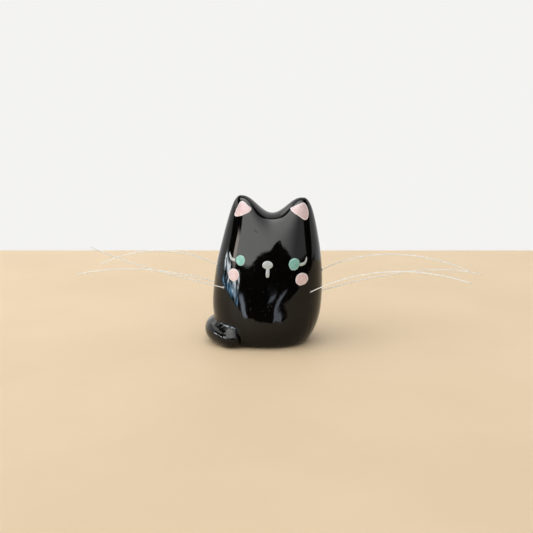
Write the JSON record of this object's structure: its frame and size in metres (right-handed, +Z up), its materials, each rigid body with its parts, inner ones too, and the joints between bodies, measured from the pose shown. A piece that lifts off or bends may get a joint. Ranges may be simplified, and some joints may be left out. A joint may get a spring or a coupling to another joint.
{
  "type": "cat figurine",
  "caption": "Small seated cat figurine in black glazed ceramic with raised enamel face marks, a coiled tail and springy clear nylon whiskers.",
  "frame": {"origin": "on the plane that the cat stands on, in the middle of the slab that closes its foot", "axes": "+Z up; the cat faces -Y; +X is the cat's own left, so its tail and right_ pieces lie at -X"},
  "size_m": [0.1313, 0.0367, 0.0454],
  "materials": {
    "black_glaze": "glossy black glaze, pooled in the creases",
    "bare_clay": "bare fired stoneware, matt",
    "mint_enamel": "raised satin mint-green enamel dots",
    "pink_enamel": "raised satin pale pink enamel with whiter edges",
    "grey_enamel": "raised satin pale grey enamel",
    "clear_adhesive": "cured clear adhesive",
    "nylon_line": "translucent drawn nylon monofilament"
  },
  "bodies": {
    "cat": {"body_shell": "black_glaze", "base_slab": "bare_clay", "tail": "black_glaze", "right_ear_patch": "pink_enamel", "left_ear_patch": "pink_enamel", "right_eye": "mint_enamel", "left_eye": "mint_enamel", "right_eyelash": "grey_enamel", "left_eyelash": "grey_enamel", "right_cheek": "pink_enamel", "left_cheek": "pink_enamel", "nose": "grey_enamel", "mouth_line": "grey_enamel", "whisker_glue": "clear_adhesive"},
    "whisker_right_upper_line": {"whisker_right_upper": "nylon_line"},
    "whisker_right_rear_line": {"whisker_right_rear": "nylon_line"},
    "whisker_right_front_line": {"whisker_right_front": "nylon_line"},
    "whisker_left_upper_line": {"whisker_left_upper": "nylon_line"},
    "whisker_left_rear_line": {"whisker_left_rear": "nylon_line"},
    "whisker_left_front_line": {"whisker_left_front": "nylon_line"}
  },
  "joints": [
    {"name": "right_upper_flex", "type": "hinge", "parent": "cat", "child": "whisker_right_upper_line", "pos_m": [-0.01504, -0.00255, 0.02412], "axis": [-0.0698, 0.9976, 0], "range_deg": [-25, 25], "stiffness_Nm_per_rad": 0.000045, "springref_deg": 0.65, "deforming": ["whisker_right_upper"]},
    {"name": "right_rear_flex", "type": "hinge", "parent": "cat", "child": "whisker_right_rear_line", "pos_m": [-0.01602, 0.00275, 0.01764], "axis": [0.1392, 0.9903, 0], "range_deg": [-25, 25], "stiffness_Nm_per_rad": 0.000045, "springref_deg": 1.01, "deforming": ["whisker_right_rear"]},
    {"name": "right_front_flex", "type": "hinge", "parent": "cat", "child": "whisker_right_front_line", "pos_m": [-0.01299, -0.00818, 0.0181], "axis": [-0.2419, 0.9703, 0], "range_deg": [-25, 25], "stiffness_Nm_per_rad": 0.000045, "springref_deg": 0.84, "deforming": ["whisker_right_front"]},
    {"name": "left_upper_flex", "type": "hinge", "parent": "cat", "child": "whisker_left_upper_line", "pos_m": [0.01736, -0.00192, 0.02239], "axis": [-0.0698, -0.9976, 0], "range_deg": [-25, 25], "stiffness_Nm_per_rad": 0.000045, "springref_deg": 1.05, "deforming": ["whisker_left_upper"]},
    {"name": "left_rear_flex", "type": "hinge", "parent": "cat", "child": "whisker_left_rear_line", "pos_m": [0.01727, 0.00282, 0.01469], "axis": [0.1392, -0.9903, 0], "range_deg": [-25, 25], "stiffness_Nm_per_rad": 0.000045, "springref_deg": 1.39, "deforming": ["whisker_left_rear"]},
    {"name": "left_front_flex", "type": "hinge", "parent": "cat", "child": "whisker_left_front_line", "pos_m": [0.01362, -0.00895, 0.01692], "axis": [-0.2419, -0.9703, 0], "range_deg": [-25, 25], "stiffness_Nm_per_rad": 0.000045, "springref_deg": 1.15, "deforming": ["whisker_left_front"]}
  ]
}
